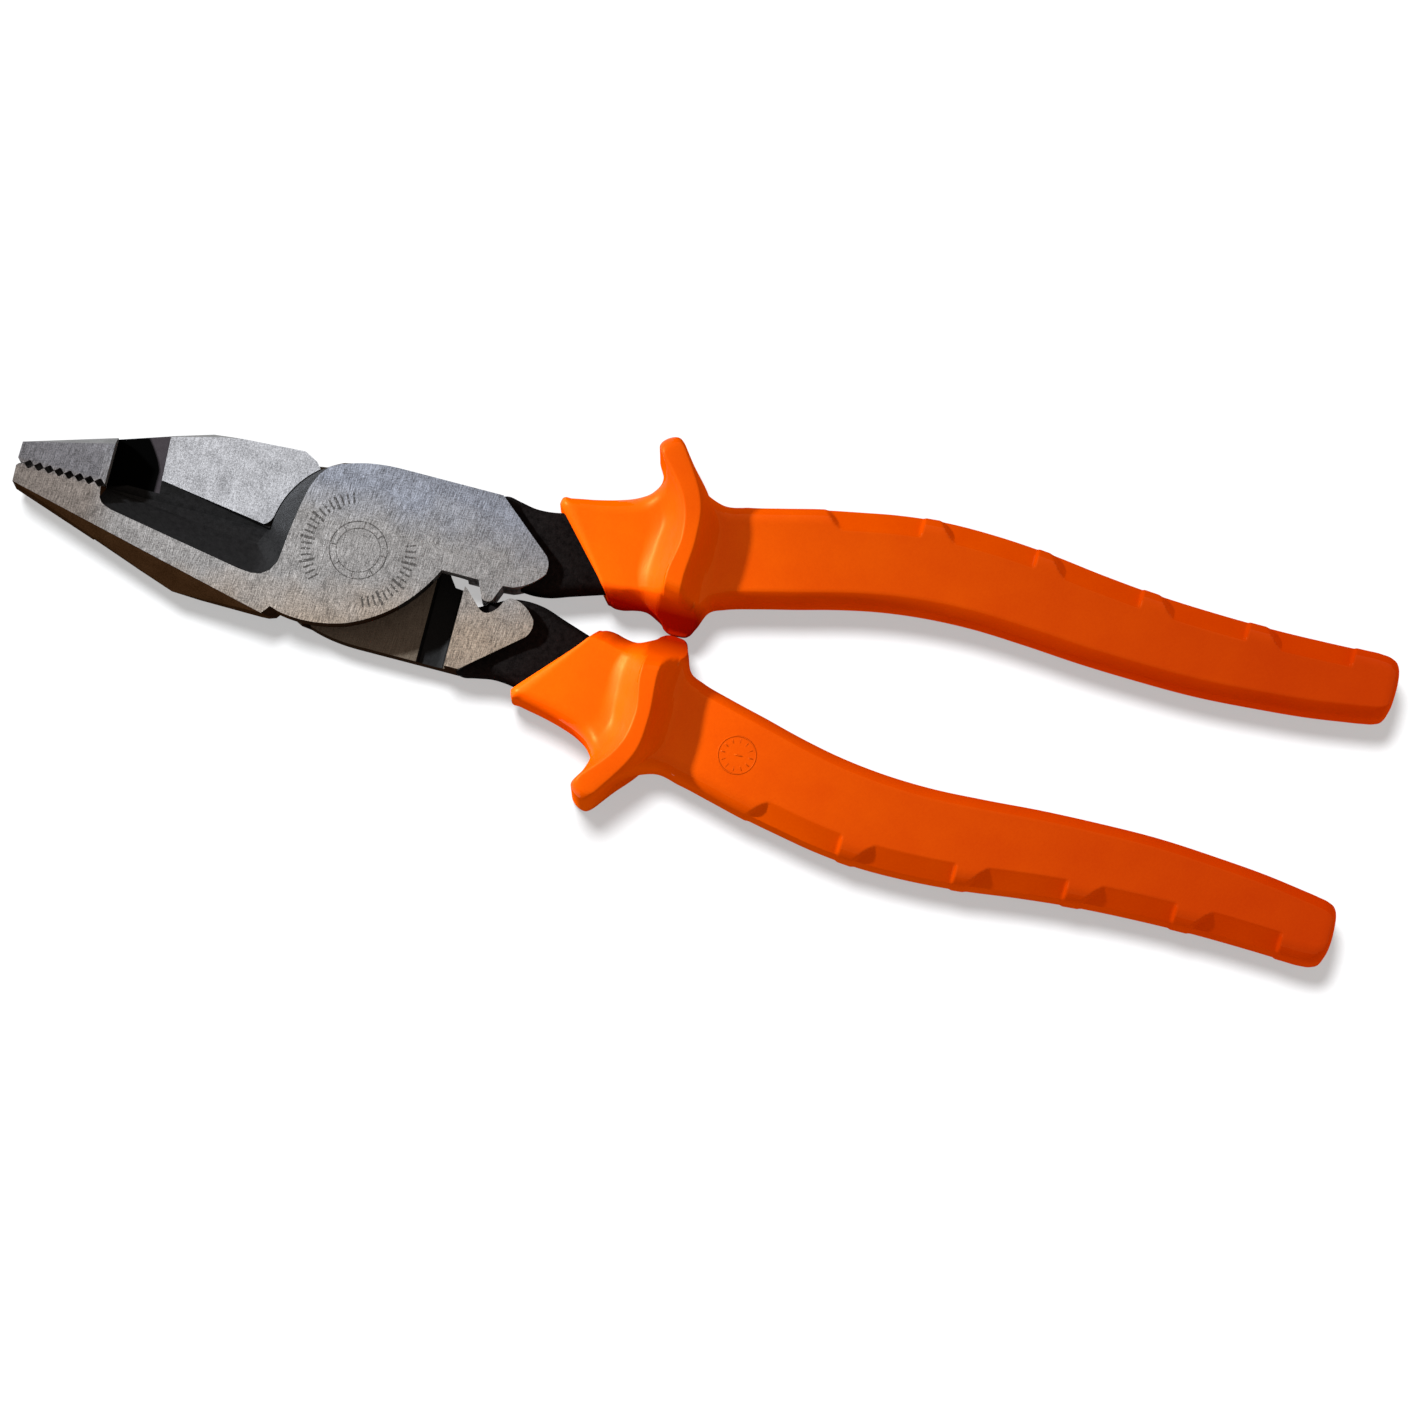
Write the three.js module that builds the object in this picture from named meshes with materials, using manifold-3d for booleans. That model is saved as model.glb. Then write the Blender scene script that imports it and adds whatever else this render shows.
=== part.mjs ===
// Lineman pliers: two forged halves lapped on one rivet, each with an inner sleeve and an outer grip.
// Millimetres. The origin is on the rivet's axis at the joint's lower face.
// +X runs from the jaws to the handles, +Y points to the upper handle and +Z out of the upper joint face.
// Every piece is drawn about the mid-plane of the head, which is then lifted by half the head's thickness.
// Both halves are the same forging. The lower one is turned half a turn about X.
import * as THREE from 'three';
import { ConvexGeometry } from 'three/addons/geometries/ConvexGeometry.js';
import { mergeVertices } from 'three/addons/utils/BufferGeometryUtils.js';
import Module from 'manifold-3d';

const wasm = await Module();
wasm.setup();

// ---- driving dimensions ----
const GAP = 0.3; // between neighbouring pieces
const HALF_GAP = GAP / 2;
const HEAD_HALF_WIDTH = 15.9; // joint, measured across Y
const HEAD_HALF_THICKNESS = 7;
const TIP_X = -62.3;
const NOSE_END_X = -46.3; // where the gripping nose steps down to the cutter
const PLATE_START_X = -36.8; // where the ground cutter plate starts
const FLOOR_DEPTH = 0.6; // pocket floor behind the nose, below the mid-plane on the far side
const PLATE_DEPTH = 1.6; // cutter plate, same sense
const LAP_RADIUS = 16.2; // round end of each lap
const LAP_CLEARANCE = 16.5; // hollow in the other half that the round end turns in
const REAR_BLOCK_X = 19.8; // front wall of the crimping die, which is as thick as the whole head
const GROOVE_X = 15.1;
const GROOVE_DEPTH = 0.9;
const TOOTH_COUNT = 8;
const TOOTH_DEPTH = 0.8;
const TOOTH_CREST_Y = -0.3; // the crests stop just short of the other jaw
const TIP_LAND = 1.2; // flat in front of the first tooth

const RIVET_RADIUS = 5;
const RIVET_HEAD_RADIUS = 6.2;
const RIVET_HEAD_HEIGHT = 1.6;

const TANG_HALF_THICKNESS = 5.4; // where the tang shows, in front of the grip
const TANG_EDGE = 1.6; // chamfer along it
const CORE_HALF_THICKNESS = 4; // inside the grip
const CORE_EDGE = 1.2;
const CORE_END_X = 172;
const SLEEVE_START_X = 49;
const SLEEVE_WALL = 1.2;

const GRIP_HALF_THICKNESS = 9;
const GUARD_HALF_THICKNESS = 15;
const GRIP_EDGE = 3; // rounding of the handle's long edges

// ---- solids ----
function solidOf(geometry) {
  const bare = geometry.index ? geometry.toNonIndexed() : geometry.clone();
  bare.deleteAttribute('normal');
  bare.deleteAttribute('uv');
  const merged = mergeVertices(bare, 1e-4);
  return new wasm.Manifold(new wasm.Mesh({
    numProp: 3,
    vertProperties: new Float32Array(merged.attributes.position.array),
    triVerts: new Uint32Array(merged.index.array),
  }));
}

function meshOf(name, solid, material) {
  const { vertProperties, triVerts } = solid.getMesh();
  const geometry = new THREE.BufferGeometry();
  geometry.setAttribute('position', new THREE.BufferAttribute(vertProperties, 3));
  geometry.setIndex(new THREE.BufferAttribute(triVerts, 1));
  geometry.computeVertexNormals();
  const mesh = new THREE.Mesh(geometry, material);
  mesh.name = name;
  return mesh;
}

function slab(shape, low, high, curveSegments = 6) {
  const settings = { depth: high - low, bevelEnabled: false, curveSegments };
  const geometry = new THREE.ExtrudeGeometry(shape, settings);
  geometry.translate(0, 0, low);
  return solidOf(geometry);
}

function hull(points) {
  return solidOf(new ConvexGeometry(points));
}

// Joining hulls end to end can leave slivers with no volume between them, which this drops.
function withoutSlivers(solid) {
  const bodies = solid.decompose();
  return bodies.reduce((largest, body) => (body.volume() > largest.volume() ? body : largest));
}

function at(z, pairs) {
  return pairs.map(([x, y]) => new THREE.Vector3(x, y, z));
}

function plan(pairs) {
  return pairs.map(([x, y]) => new THREE.Vector2(x, y));
}

function polygon(pairs) {
  return new THREE.Shape(plan(pairs));
}

function arcPoints(radius, fromDegrees, toDegrees, count) {
  const pairs = [];
  for (let i = 0; i <= count; i++) {
    const angle = THREE.MathUtils.degToRad(fromDegrees + (toDegrees - fromDegrees) * i / count);
    pairs.push([radius * Math.cos(angle), radius * Math.sin(angle)]);
  }
  return pairs;
}

// A bar with chamfered long edges. Each station is [x, lower y, upper y], with its own half thickness or none.
function bar(stations, halfThickness, edge, grow = 0) {
  const last = stations.length - 1;
  const sections = stations.map(([x, lowY, highY, ownHalf], i) => {
    const ends = (i === last ? grow : 0) - (i === 0 ? grow : 0);
    const high = (ownHalf ?? halfThickness) + grow;
    const outline = [[lowY - grow, high - edge], [lowY - grow + edge, high], [highY + grow - edge, high],
      [highY + grow, high - edge]];
    return outline.flatMap(([y, z]) => [new THREE.Vector3(x + ends, y, z), new THREE.Vector3(x + ends, y, -z)]);
  });
  let solid = hull([...sections[0], ...sections[1]]);
  for (let i = 1; i < last; i++) {
    solid = solid.add(hull([...sections[i], ...sections[i + 1]]));
  }
  return solid;
}

function disc(radius, low, high, segments = 48) {
  const geometry = new THREE.CylinderGeometry(radius, radius, high - low, segments);
  geometry.rotateX(Math.PI / 2);
  geometry.translate(0, 0, (low + high) / 2);
  return solidOf(geometry);
}

// ---- jaw ----
const top = HEAD_HALF_THICKNESS;
const cutReach = 20; // cutting tools run this far past the head

// The outer side is a plane that leans in from the widest line near the mid-plane to the faces.
function jawBlank() {
  const face = [[TIP_X, -HALF_GAP], [TIP_X + 0.1, -3.6], [-13.8, -15.1], [-9.4, -9.4], [-9.4, -HALF_GAP]];
  const widest = [
    [TIP_X, -HALF_GAP], [TIP_X, -3.4], [-30.3, -14.9], [-12, -15], [-8.1, -9.4], [-8.1, -HALF_GAP],
  ];
  const plateLevel = [[TIP_X, -3.4], [-29, -14.5], [-11.3, -14.6], [-7.6, -9.4]];
  return hull([
    ...at(top, face),
    ...at(0.8, widest),
    ...at(-PLATE_DEPTH, plateLevel),
    ...at(-top, face),
  ]);
}

// Everything on the far side of the other half's milled clearance.
function farSideCut() {
  const plateLevel = polygon([
    [NOSE_END_X, -cutReach], [0, -cutReach], [0, 1], [NOSE_END_X, 1],
  ]);
  const floorLevel = polygon([
    [NOSE_END_X, -cutReach], [PLATE_START_X, -cutReach], [PLATE_START_X, 1], [NOSE_END_X, 1],
  ]);
  const plateEdge = [
    [NOSE_END_X, 1], [NOSE_END_X, -0.7], [PLATE_START_X, -3.65], [-17.8, -0.5], [-16, -0.5], [-16, 1],
  ];
  const blade = hull([
    ...at(0, [[NOSE_END_X, 0], [-16, 0], [-16, 1], [NOSE_END_X, 1]]),
    ...at(-PLATE_DEPTH, plateEdge),
    ...at(-PLATE_DEPTH - 1, plateEdge),
  ]);
  return slab(plateLevel, -cutReach, -PLATE_DEPTH)
    .add(slab(floorLevel, -cutReach, -FLOOR_DEPTH))
    .add(blade)
    .add(disc(LAP_CLEARANCE, -cutReach, HALF_GAP, 96));
}

// The pocket in front of the joint falls from the rim of the upper face to the cutting edge.
function pocketCut() {
  const rim = [
    [NOSE_END_X, 1], [NOSE_END_X, -2.4], [-45.6, -3.6], [-44, -4.1], [-34.9, -5.6], [-19.5, -8.5],
    [-17.3, -8.7], [-15.5, -8.3], [-14, -7.1], [-13.2, -5.2], [-12.8, -2.9], [-12.4, 1],
  ];
  const above = rim.map(([x, y]) => [x + (x + 30) * 0.04, y < 0 ? y * 1.05 : y]);
  const foot = [[NOSE_END_X, 1], [NOSE_END_X, -0.6], [-17.2, -0.6], [-16.6, 1]];
  const edge = [[NOSE_END_X, 1], [NOSE_END_X, -HALF_GAP], [-16.8, -HALF_GAP], [-16.8, 1]];
  const shoulder = [[NOSE_END_X, 1], [NOSE_END_X, -1.9], [-17, -2.4], [-16, 1]];
  const slope = hull([...at(top + 1, above), ...at(top, rim), ...at(1.6, foot)]);
  const bevel = hull([...at(2.6, shoulder), ...at(0.2, edge)]);
  return slope.add(bevel);
}

function teethCut() {
  const firstTooth = TIP_X + TIP_LAND;
  const pitch = (NOSE_END_X - firstTooth) / TOOTH_COUNT;
  const pairs = [[NOSE_END_X, 2], [TIP_X - 1, 2], [TIP_X - 1, TOOTH_CREST_Y], [firstTooth, TOOTH_CREST_Y]];
  for (let i = 0; i < TOOTH_COUNT; i++) {
    const start = firstTooth + i * pitch;
    pairs.push([start + 0.5 * pitch, TOOTH_CREST_Y - TOOTH_DEPTH]);
    pairs.push([start + pitch, TOOTH_CREST_Y]);
  }
  return slab(polygon(pairs), -cutReach, cutReach);
}

// ---- joint and die ----
const dieFaceY = { upper: 0.35, lower: 1.4 };

// The crimping die: the upper half has a tooth, the lower half has a notch for it. Both run right through.
function dieEdge(shape, half) {
  if (half === 'upper') {
    shape.lineTo(21.8, dieFaceY.upper);
    shape.lineTo(23, -2.3);
    shape.quadraticCurveTo(23.4, -3.1, 24.3, -3);
    shape.quadraticCurveTo(25, -2.9, 25.3, -2);
    shape.lineTo(26.2, dieFaceY.upper);
    shape.lineTo(28, 0.5);
  } else {
    shape.lineTo(20.5, dieFaceY.lower);
    shape.lineTo(21.9, 3.4);
    shape.quadraticCurveTo(23.6, 5.5, 25.3, 4.7);
    shape.quadraticCurveTo(26.3, 4.1, 26.6, 2.7);
    shape.quadraticCurveTo(27, 1.3, 28.3, dieFaceY.lower);
  }
  shape.quadraticCurveTo(31, 1.5, 33, 4.2);
  shape.quadraticCurveTo(33.5, 6, 32.4, 7.4);
  shape.lineTo(22.3, HEAD_HALF_WIDTH);
}

function lapPlate(half) {
  const shape = new THREE.Shape();
  shape.moveTo(-12.6, -13.5);
  shape.lineTo(-11.1, -14);
  shape.quadraticCurveTo(-5.4, -15.2, 1, -13.1);
  shape.quadraticCurveTo(10.5, -9.2, GROOVE_X, dieFaceY[half]);
  dieEdge(shape, half);
  shape.lineTo(4, HEAD_HALF_WIDTH);
  shape.quadraticCurveTo(-1, HEAD_HALF_WIDTH, -5, 14.6);
  shape.lineTo(-8, 10);
  shape.lineTo(-10.5, -2);
  return slab(shape, HALF_GAP, top, 10);
}

function lapRoundEnd() {
  const low = arcPoints(LAP_RADIUS, 114, 232, 24);
  const face = [
    [-5, 14.6], [-8.7, 13], [-10.1, 11.2], [-11.2, 8.7], [-12, 4.8], [-12.8, -2.9], [-13.2, -5.2], [-11.1, -12],
  ];
  return hull([...at(HALF_GAP, low), ...at(PLATE_DEPTH + 0.3, low), ...at(top, face)]);
}

function rearBlock(half) {
  const shape = new THREE.Shape();
  shape.moveTo(REAR_BLOCK_X, dieFaceY[half]);
  dieEdge(shape, half);
  shape.lineTo(REAR_BLOCK_X, HEAD_HALF_WIDTH);
  return slab(shape, -top, top, 10);
}

// A shallow groove in the mating face in front of the die wall, hollow at the foot of the wall.
function grooveCut() {
  const section = polygon([
    [GROOVE_X - 0.6, -1], [GROOVE_X - 0.6, HALF_GAP], [GROOVE_X, HALF_GAP + GROOVE_DEPTH],
    [18, HALF_GAP + GROOVE_DEPTH], [19.2, HALF_GAP + 0.4], [REAR_BLOCK_X, -0.6], [REAR_BLOCK_X, -1],
  ]);
  const geometry = new THREE.ExtrudeGeometry(section, { depth: 2 * cutReach, bevelEnabled: false });
  geometry.rotateX(Math.PI / 2);
  geometry.translate(0, 2 * cutReach, 0);
  return solidOf(geometry);
}

function rivetSolid(grow) {
  const headStart = top - RIVET_HEAD_HEIGHT;
  const profile = plan([
    [0, -top],
    [RIVET_HEAD_RADIUS + grow, -top],
    [RIVET_RADIUS + grow, -headStart],
    [RIVET_RADIUS + grow, headStart],
    [RIVET_HEAD_RADIUS + grow, top],
    [0, top],
  ]);
  const geometry = new THREE.LatheGeometry(profile, 48);
  geometry.rotateX(Math.PI / 2);
  return solidOf(geometry);
}

// ---- tang ----
// Stations along the tang, from the joint into the handle: [x, lower y, upper y].
const tangFrontStations = [
  [23, 4, 15.8], [28.4, 1.3, 15.4], [31, 1, 15.5], [34.4, 1.3, 16.2], [38, 2.4, 17], [44, 4.4, 18],
  [47, 5.5, 18.3],
];
const tangCoreStations = [
  [45, 5, 18.2], [49, 6.2, 18.6], [60, 10, 20.8], [75, 14, 24.3], [88, 16.8, 26.6], [100, 18.4, 27.4],
  [115, 18.4, 27], [130, 17.6, 26], [150, 17.2, 25], [CORE_END_X, 18.4, 24.8],
];

function tangFront(grow) {
  return bar(tangFrontStations, TANG_HALF_THICKNESS, TANG_EDGE, grow);
}

function tangCore(grow) {
  return bar(tangCoreStations, CORE_HALF_THICKNESS, CORE_EDGE, grow);
}

function sleeveCore(grow) {
  const behind = tangCoreStations.filter(([x]) => x > SLEEVE_START_X - 1);
  return bar(behind, CORE_HALF_THICKNESS, CORE_EDGE, grow);
}

// ---- the five kinds of piece ----
function forging(half) {
  const jaw = jawBlank().subtract(farSideCut()).subtract(pocketCut()).subtract(teethCut());
  const lap = lapPlate(half).add(lapRoundEnd()).subtract(grooveCut());
  return jaw.add(lap).add(rearBlock(half)).add(tangFront(0)).add(tangCore(0)).subtract(rivetSolid(GAP));
}

function sleeve() {
  return sleeveCore(GAP + SLEEVE_WALL).subtract(tangCore(GAP));
}

const gripOutline = {
  collarTop: [
    [32.5, 18.7], [38.7, 20.3], [42.3, 21], [45.4, 21.9], [47.5, 23.4], [48.8, 26], [48.5, 28.4], [47.2, 31],
  ],
  wingTip: [[46.9, 32.8], [49.5, 34.2], [51.5, 32.6]],
  wingBack: [[51.5, 32.6], [54.2, 29], [57, 26], [59.6, 25]],
  throat: [[61, 3.4], [60.9, 2.6], [60.2, 0.5]],
  collarBelly: [[55.9, 0.3], [54.6, 2], [51.2, 3.2], [47.6, 2.4], [45.4, 2.6]],
};

function runThrough(shape, pairs) {
  shape.splineThru(plan(pairs).slice(1));
}

function collarShape() {
  const shape = new THREE.Shape();
  shape.moveTo(32.4, 17.2);
  shape.lineTo(...gripOutline.collarTop[0]);
  runThrough(shape, gripOutline.collarTop);
  runThrough(shape, [gripOutline.collarTop.at(-1), ...gripOutline.wingTip]);
  runThrough(shape, gripOutline.wingBack);
  shape.lineTo(62, 25.1);
  shape.lineTo(62, 5.8);
  shape.lineTo(61, 3.4);
  runThrough(shape, gripOutline.throat);
  shape.lineTo(59.4, HALF_GAP);
  shape.lineTo(56.6, HALF_GAP);
  shape.lineTo(...gripOutline.collarBelly[0]);
  runThrough(shape, gripOutline.collarBelly);
  shape.lineTo(44.2, 3.8);
  return shape;
}

// Stations along the handle: [x, belly y, back y, half thickness where it narrows to the end].
const handleStations = [
  [57, 6.4, 25.4], [62, 6.4, 25.1], [66, 7.8, 25.7], [72, 9.2, 26.8], [77, 10.5, 27.9],
  [84, 12.3, 29.2], [91, 13.7, 30.4], [99, 14.7, 31.2], [108, 15.1, 31.2], [118, 14.7, 30.5],
  [128, 13.9, 29.3], [137, 13.6, 28.4], [150, 13.5, 27.8], [160, 14.1, 27.6], [170, 15, 27.8],
  [177, 15.7, 28.2], [180.5, 16.2, 27.2, 8.8], [183, 17.6, 25.4, 8], [184.2, 18.8, 23.6, 6.6],
];

// The finger guard is a ridge that runs round the grip. Its crest leans forward at the outer wing.
function guardRidge() {
  const crest = plan([[55.4, -1], [55, 10], [55, 19.5], [52.2, 26], [48.4, 35]]);
  const section = [
    [-5.6, 8], [-2.6, 12.2], [-0.8, GUARD_HALF_THICKNESS], [1.2, GUARD_HALF_THICKNESS], [3.2, 12.2], [4.6, 8],
  ];
  const overlap = 0.2; // each piece of the ridge runs this far into the next one
  const station = (i, shift) => {
    const before = crest[Math.max(i - 1, 0)];
    const after = crest[Math.min(i + 1, crest.length - 1)];
    const along = after.clone().sub(before).normalize();
    const middle = crest[i].clone().addScaledVector(along, shift);
    return section.flatMap(([across, height]) => [1, -1].map((side) => new THREE.Vector3(
      middle.x + across * along.y,
      middle.y - across * along.x,
      side * height,
    )));
  };
  let ridge = hull([...station(0, 0), ...station(1, overlap)]);
  for (let i = 1; i < crest.length - 1; i++) {
    ridge = ridge.add(hull([...station(i, -overlap), ...station(i + 1, overlap)]));
  }
  return ridge.intersect(slab(collarShape(), -cutReach, cutReach, 5));
}

function grip() {
  const cavity = tangFront(GAP).add(sleeveCore(2 * GAP + SLEEVE_WALL));
  const collar = slab(collarShape(), -GRIP_HALF_THICKNESS, GRIP_HALF_THICKNESS, 5);
  const outside = collar
    .add(bar(handleStations, GRIP_HALF_THICKNESS, GRIP_EDGE))
    .add(guardRidge());
  return withoutSlivers(outside.subtract(cavity));
}

// ---- materials and assembly ----
const groundSteel = () => new THREE.MeshStandardMaterial({ color: 0x8f9092, roughness: 0.42, metalness: 1 });
const sleeveWhite = () => new THREE.MeshStandardMaterial({ color: 0xe9e6df, roughness: 0.6, metalness: 0 });
const gripOrange = () => new THREE.MeshStandardMaterial({ color: 0xf4640a, roughness: 0.45, metalness: 0 });

const pliers = new THREE.Group();
const upperHalf = new THREE.Group();
const lowerHalf = new THREE.Group();
lowerHalf.rotation.x = Math.PI;

upperHalf.add(
  meshOf('upper_forging', forging('upper'), groundSteel()),
  meshOf('upper_sleeve', sleeve(), sleeveWhite()),
  meshOf('upper_grip', grip(), gripOrange()),
  meshOf('pivot_rivet', rivetSolid(0), groundSteel()),
);
lowerHalf.add(
  meshOf('lower_forging', forging('lower'), groundSteel()),
  meshOf('lower_sleeve', sleeve(), sleeveWhite()),
  meshOf('lower_grip', grip(), gripOrange()),
);
pliers.add(upperHalf, lowerHalf);
pliers.position.z = HEAD_HALF_THICKNESS;

export default pliers;
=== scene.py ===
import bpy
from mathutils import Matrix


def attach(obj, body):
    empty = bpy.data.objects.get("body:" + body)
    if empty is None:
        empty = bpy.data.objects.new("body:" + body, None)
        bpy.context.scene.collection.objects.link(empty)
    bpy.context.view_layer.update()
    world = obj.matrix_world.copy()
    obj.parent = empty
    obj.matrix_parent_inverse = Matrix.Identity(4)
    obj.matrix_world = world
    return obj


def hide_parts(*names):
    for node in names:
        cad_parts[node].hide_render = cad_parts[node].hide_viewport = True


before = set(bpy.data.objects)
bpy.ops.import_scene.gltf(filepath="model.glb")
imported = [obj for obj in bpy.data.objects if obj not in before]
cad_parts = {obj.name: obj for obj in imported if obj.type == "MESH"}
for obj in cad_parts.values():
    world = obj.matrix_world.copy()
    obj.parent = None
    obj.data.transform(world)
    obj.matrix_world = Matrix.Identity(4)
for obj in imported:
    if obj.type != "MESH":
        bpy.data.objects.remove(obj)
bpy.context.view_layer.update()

import math

import bmesh
import bpy
import numpy as np
from mathutils import Matrix, Vector

# Each half is drawn in millimetres about the head's mid-plane. The lower half is the upper half's drawing
# turned over about X. to_part_frame() moves both to the part's frame, which is the CAD nodes' frame.
MM = 0.001
LIFT = 7.0  # mid-plane of the head above the part frame's zero, mm
HEAD = 7.0  # half thickness of the head, mm
GUARD_HALF = 15.0  # half thickness of the guards, mm, which is what the tool lies on
scene = bpy.context.scene


# ---------------------------------------------------------------- camera and lamps
TILT = math.radians(14.7)  # the tool's long axis runs down to the right in the picture
RISE = math.radians(85.0)
ACROSS = Vector((math.cos(TILT), math.sin(TILT), 0))
UP = Vector((-math.sin(TILT), math.cos(TILT), 0))
LOOK_AT = Vector((66.25, -10.6, LIFT)) * MM
VIEW_WIDTH = 249.65 * MM
CAMERA_DISTANCE = 2.4
SENSOR = 36.0


def aim(obj, back):
    """Turns obj so that its local +Z is back and its local +Y lies towards the picture's top."""
    z = back.normalized()
    x = UP.cross(z).normalized()
    y = z.cross(x)
    obj.matrix_world = Matrix((
        (x.x, y.x, z.x, obj.location.x),
        (x.y, y.y, z.y, obj.location.y),
        (x.z, y.z, z.z, obj.location.z),
        (0, 0, 0, 1),
    ))


camera_data = bpy.data.cameras.new("camera")
camera_data.sensor_width = SENSOR
camera_data.lens = SENSOR * CAMERA_DISTANCE / VIEW_WIDTH
camera_data.clip_start = 0.05
camera_data.clip_end = 50
camera = bpy.data.objects.new("camera", camera_data)
scene.collection.objects.link(camera)
camera_back = -UP * math.cos(RISE) + Vector((0, 0, math.sin(RISE)))
camera.location = LOOK_AT + camera_back * CAMERA_DISTANCE
aim(camera, camera_back)
scene.camera = camera
scene.view_settings.view_transform = "Standard"

object_lit = bpy.data.collections.new("object_lit")
floor_lit = bpy.data.collections.new("floor_lit")


def lamp(name, kind, spot, way, energy, colour, receivers, **settings):
    """A lamp at `spot` that shines along `way` on the objects in `receivers` only."""
    data = bpy.data.lights.new(name, kind)
    data.energy = energy
    data.color = colour
    for key, value in settings.items():
        setattr(data, key, value)
    obj = bpy.data.objects.new(name, data)
    scene.collection.objects.link(obj)
    obj.location = spot
    aim(obj, -way)
    obj.light_linking.receiver_collection = receivers


# Small lamps stand together, low at the left. Their cones are centred on the head and die away along
# the handles.
KEY_AT = Vector((-320, 85, 250)) * MM
KEY_WAY = Vector((2, 0, 14)) * MM - KEY_AT
KEY_COLOUR = (0.98, 1.03, 1.06)
KEY_RADIUS = 0.014
for name, energy, cone in (("key_centre", 9.5, 13), ("key_beam", 4.4, 24)):
    lamp(name, "SPOT", KEY_AT, KEY_WAY, energy, KEY_COLOUR, object_lit,
         shadow_soft_size=KEY_RADIUS, spot_size=math.radians(cone), spot_blend=1.0)
lamp("key_spill", "POINT", KEY_AT, KEY_WAY, 3.3, KEY_COLOUR, object_lit, shadow_soft_size=KEY_RADIUS)

# The floor has a lamp of its own, which throws the soft shadow down and to the right.
FLOOR_WAY = ACROSS * 0.08 - UP * 0.155 - Vector((0, 0, 1))
lamp("floor_light", "SUN", LOOK_AT - FLOOR_WAY, FLOOR_WAY, 8.8, (1, 1, 1), floor_lit, angle=math.radians(8))


# ---------------------------------------------------------------- node helpers
def new_material(name):
    mat = bpy.data.materials.new(name)
    mat.use_nodes = True
    return mat, mat.node_tree, mat.node_tree.nodes["Principled BSDF"]


def node(tree, kind, inputs=None, **settings):
    made = tree.nodes.new(kind)
    for key, value in settings.items():
        setattr(made, key, value)
    for key, value in (inputs or {}).items():
        if isinstance(value, bpy.types.NodeSocket):
            tree.links.new(value, made.inputs[key])
        else:
            made.inputs[key].default_value = value
    return made


def in_mm(tree, scale=(1, 1, 1), turn=0.0):
    """The piece's own coordinates in millimetres, stretched by scale and turned about Z."""
    coords = node(tree, "ShaderNodeTexCoord").outputs["Object"]
    turned = node(tree, "ShaderNodeMapping", {"Vector": coords, "Rotation": (0, 0, turn)}).outputs[0]
    return node(tree, "ShaderNodeVectorMath", {0: turned, 1: tuple(1000 * s for s in scale)},
                operation="MULTIPLY").outputs[0]


def axes(tree):
    """X, Y and Z of the piece's own coordinates, in millimetres."""
    return node(tree, "ShaderNodeSeparateXYZ", {0: in_mm(tree)}).outputs


def noise(tree, vector, scale, detail=2.0, rough=0.5):
    return node(tree, "ShaderNodeTexNoise",
                {"Vector": vector, "Scale": scale, "Detail": detail, "Roughness": rough}).outputs["Fac"]


def math_node(tree, operation, a, b=0.0, c=0.0):
    return node(tree, "ShaderNodeMath", {0: a, 1: b, 2: c}, operation=operation).outputs[0]


def weighted_sum(tree, terms):
    """Adds up (value, weight) pairs."""
    (value, weight), *rest = terms
    total = math_node(tree, "MULTIPLY", value, weight)
    for value, weight in rest:
        total = math_node(tree, "MULTIPLY_ADD", value, weight, total)
    return total


def highest(tree, first, *rest):
    for value in rest:
        first = math_node(tree, "MAXIMUM", first, value)
    return first


def away_from(tree, value, middle):
    """How far value is from middle, either way."""
    return math_node(tree, "ABSOLUTE", math_node(tree, "SUBTRACT", value, middle))


def polar(tree, x, y):
    """Distance from the origin, and turns about it from -0.5 to 0.5."""
    squares = math_node(tree, "ADD", math_node(tree, "MULTIPLY", x, x), math_node(tree, "MULTIPLY", y, y))
    turn = math_node(tree, "DIVIDE", math_node(tree, "ARCTAN2", y, x), 2 * math.pi)
    return math_node(tree, "SQRT", squares), turn


def remap(tree, value, low, high, to_low, to_high):
    """Takes low..high to to_low..to_high, and holds the ends beyond that."""
    return node(tree, "ShaderNodeMapRange",
                {"Value": value, "From Min": low, "From Max": high, "To Min": to_low, "To Max": to_high},
                clamp=True).outputs["Result"]


def mix(tree, factor, a, b, blend="MIX"):
    return node(tree, "ShaderNodeMix", {0: factor, 6: a, 7: b}, data_type="RGBA", blend_type=blend).outputs[2]


def bump(tree, height, depth, strength=1.0, normal=None):
    """The normal of a surface with bumps `depth` millimetres deep on top of `normal`."""
    inputs = {"Height": height, "Distance": depth * MM, "Strength": strength}
    if normal is not None:
        inputs["Normal"] = normal
    return node(tree, "ShaderNodeBump", inputs).outputs["Normal"]


def rgb(r, g, b):
    return (r, g, b, 1)


# ---------------------------------------------------------------- world
WORLD_COLOUR = rgb(1.0, 0.85, 0.74)
WORLD_NEAR, WORLD_FAR = 0.32, 0.58  # strength at the picture's foot and at its top
SKY_REACH = 0.8  # Y of the sky's direction at which the strength stops changing

world = bpy.data.worlds.new("studio")
scene.world = world
world.use_nodes = True
sky = node(world.node_tree, "ShaderNodeTexCoord").outputs["Generated"]
sky_y = node(world.node_tree, "ShaderNodeSeparateXYZ", {0: sky}).outputs[1]
background = world.node_tree.nodes["Background"]
background.inputs["Color"].default_value = WORLD_COLOUR
world.node_tree.links.new(remap(world.node_tree, sky_y, -SKY_REACH, SKY_REACH, WORLD_NEAR, WORLD_FAR),
                          background.inputs["Strength"])


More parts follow.
